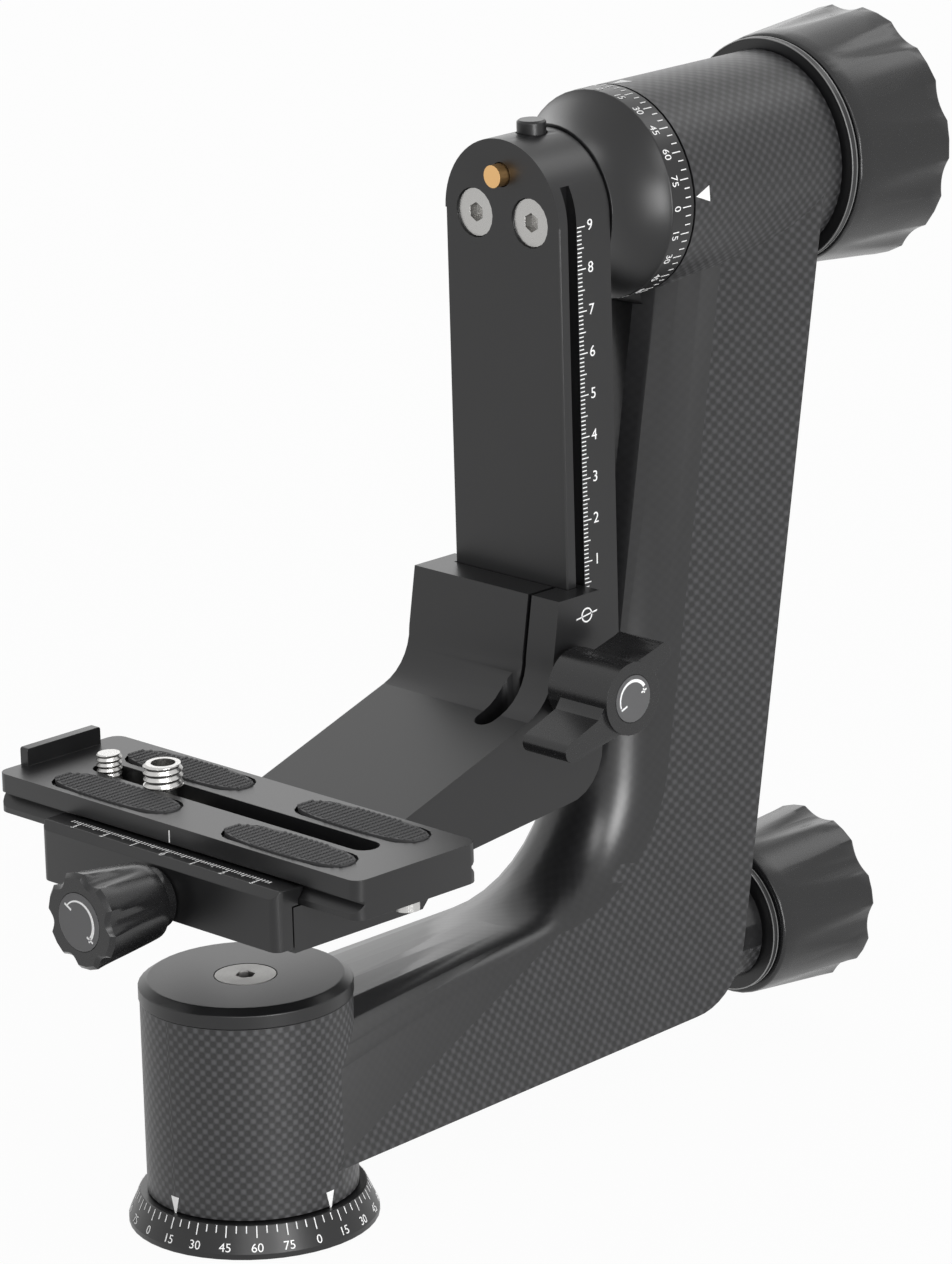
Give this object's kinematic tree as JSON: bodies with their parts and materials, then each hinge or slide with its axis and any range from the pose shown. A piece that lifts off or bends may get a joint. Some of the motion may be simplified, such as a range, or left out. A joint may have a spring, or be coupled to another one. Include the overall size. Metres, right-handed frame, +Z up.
{
  "type": "gimbal tripod head",
  "caption": "Side-mount gimbal tripod head: carbon arm on a pan base, tilting rail with a sliding clamp carriage, long quick-release plate and lock knobs.",
  "frame": {"origin": "On the pan axis at the bottom face of the base, the mouth of the tripod thread.", "axes": "+Z up along the pan axis. +X along the tilt axis from the pan axis towards the rail, the arm and the lock knobs. +Y along the lens, towards the plate's raised end lip."},
  "size_m": [0.2604, 0.1212, 0.2508],
  "materials": {
    "black_aluminium": "black anodised, satin",
    "knob_black": "black anodised, satin",
    "carbon": "carbon fibre plain weave in satin resin",
    "steel": "turned stainless steel",
    "brass": "turned brass or bronze",
    "rubber": "ribbed black rubber",
    "white_plastic": "natural plastic",
    "grey_disc": "dark grey printed disc"
  },
  "bodies": {
    "base": {"pan_base": "black_aluminium", "tripod_thread_insert": "steel", "pan_spindle": "steel", "pan_spindle_nut": "steel"},
    "arm": {"carbon_arm": "carbon", "lower_pan_bush": "brass", "upper_pan_bush": "brass", "pan_cap": "black_aluminium", "cap_screw": "steel", "pan_lock_bush": "brass", "inner_tilt_bush": "brass", "outer_tilt_bush": "brass", "tilt_tube_plug": "black_aluminium", "tilt_friction_washer": "white_plastic"},
    "pan_brake": {"pan_brake_shoe": "white_plastic", "pan_push_rod": "steel"},
    "pan_knob": {"pan_lock_knob": "knob_black", "pan_lock_stud": "steel", "pan_knob_collar": "black_aluminium"},
    "tilt_head": {"tilt_hub": "black_aluminium", "tilt_axle": "steel", "tilt_axle_nut": "steel", "slide_rail": "black_aluminium", "rail_screw_near": "steel", "rail_screw_far": "steel", "button_spring": "steel"},
    "tilt_brake": {"tilt_brake_shoe": "white_plastic"},
    "tilt_knob": {"tilt_lock_knob": "knob_black", "tilt_lock_stud": "steel", "tilt_knob_collar": "black_aluminium"},
    "button": {"push_button": "black_aluminium"},
    "pin": {"stop_pin": "brass"},
    "carriage": {"carriage": "black_aluminium", "wing_washer": "steel", "jaw_guide_pin_near": "steel", "jaw_guide_pin_far": "steel"},
    "wing_knob": {"wing_knob": "knob_black", "wing_stud": "steel", "wing_knob_disc": "grey_disc"},
    "jaw": {"clamp_jaw": "black_aluminium"},
    "clamp_knob": {"clamp_knob": "knob_black", "clamp_screw": "steel", "clamp_knob_disc": "grey_disc"},
    "plate": {"quick_release_plate": "black_aluminium", "rubber_pad_near_left": "rubber", "rubber_pad_far_left": "rubber", "rubber_pad_near_right": "rubber", "rubber_pad_far_right": "rubber", "safety_screw_near": "steel", "safety_screw_far": "steel"},
    "quarter_washer": {"quarter_inch_screw_washer": "white_plastic"},
    "quarter_screw": {"quarter_inch_screw": "steel"},
    "three_eighths_washer": {"three_eighths_screw_washer": "white_plastic"},
    "three_eighths_screw": {"three_eighths_screw": "steel"}
  },
  "joints": [
    {"name": "pan", "type": "hinge", "parent": "base", "child": "arm", "pos_m": [0, 0, 0.03], "axis": [0, 0, 1], "continuous": true},
    {"name": "pan_brake_slide", "type": "slide", "parent": "arm", "child": "pan_brake", "axis": [1, 0, 0], "range_m": [-0.0006, 0.0015]},
    {"name": "pan_knob_turn", "type": "hinge", "parent": "pan_brake", "child": "pan_knob", "pos_m": [0.17, 0, 0.02975], "axis": [1, 0, 0], "range_deg": [-145, 361]},
    {"name": "tilt", "type": "hinge", "parent": "arm", "child": "tilt_head", "pos_m": [0.12, 0, 0.22008], "axis": [1, 0, 0], "continuous": true},
    {"name": "tilt_brake_slide", "type": "slide", "parent": "arm", "child": "tilt_brake", "axis": [1, 0, 0], "range_m": [-0.0006, 0.0015]},
    {"name": "tilt_knob_turn", "type": "hinge", "parent": "tilt_brake", "child": "tilt_knob", "pos_m": [0.19, 0, 0.22008], "axis": [1, 0, 0], "range_deg": [-145, 361]},
    {"name": "button_press", "type": "slide", "parent": "tilt_head", "child": "button", "axis": [0, 0, -1], "range_m": [0, 0.002], "stiffness_N_per_m": 600, "springref_m": -0.002, "deforming": ["button_spring"]},
    {"name": "pin_retract", "type": "slide", "parent": "tilt_head", "child": "pin", "axis": [1, 0, 0], "range_m": [0, 0.0028]},
    {"name": "carriage_slide", "type": "slide", "parent": "tilt_head", "child": "carriage", "axis": [0, 0, 1], "range_m": [0, 0.0934]},
    {"name": "wing_knob_turn", "type": "hinge", "parent": "carriage", "child": "wing_knob", "pos_m": [0.0828, -0.03, 0.1142], "axis": [0, 1, 0], "range_deg": [-180, 90]},
    {"name": "jaw_slide", "type": "slide", "parent": "carriage", "child": "jaw", "axis": [1, 0, 0], "range_m": [-0.003, 0]},
    {"name": "clamp_knob_turn", "type": "hinge", "parent": "jaw", "child": "clamp_knob", "pos_m": [-0.035, 0, 0.0843], "axis": [1, 0, 0], "range_deg": [-721, 0]},
    {"name": "plate_slide", "type": "slide", "parent": "carriage", "child": "plate", "axis": [0, 1, 0], "range_m": [-0.0116, 0.0116]},
    {"name": "quarter_screw_slide", "type": "slide", "parent": "plate", "child": "quarter_washer", "axis": [0, 1, 0], "range_m": [-0.0025, 0]},
    {"name": "quarter_screw_turn", "type": "hinge", "parent": "quarter_washer", "child": "quarter_screw", "pos_m": [0, 0.0442, 0.095], "axis": [0, 0, 1], "continuous": true},
    {"name": "three_eighths_screw_slide", "type": "slide", "parent": "plate", "child": "three_eighths_washer", "axis": [0, 1, 0], "range_m": [-0.066, 0.0012]},
    {"name": "three_eighths_screw_turn", "type": "hinge", "parent": "three_eighths_washer", "child": "three_eighths_screw", "pos_m": [0, 0.0256, 0.095], "axis": [0, 0, 1], "continuous": true}
  ],
  "couplings": [
    {"joint": "pan_knob_turn", "follows": "pan_brake_slide", "rad_per_m": 4188.8},
    {"joint": "tilt_knob_turn", "follows": "tilt_brake_slide", "rad_per_m": 4188.8},
    {"joint": "clamp_knob_turn", "follows": "jaw_slide", "rad_per_m": 4188.8},
    {"joint": "pin_retract", "follows": "button_press", "ratio": 1.4}
  ]
}
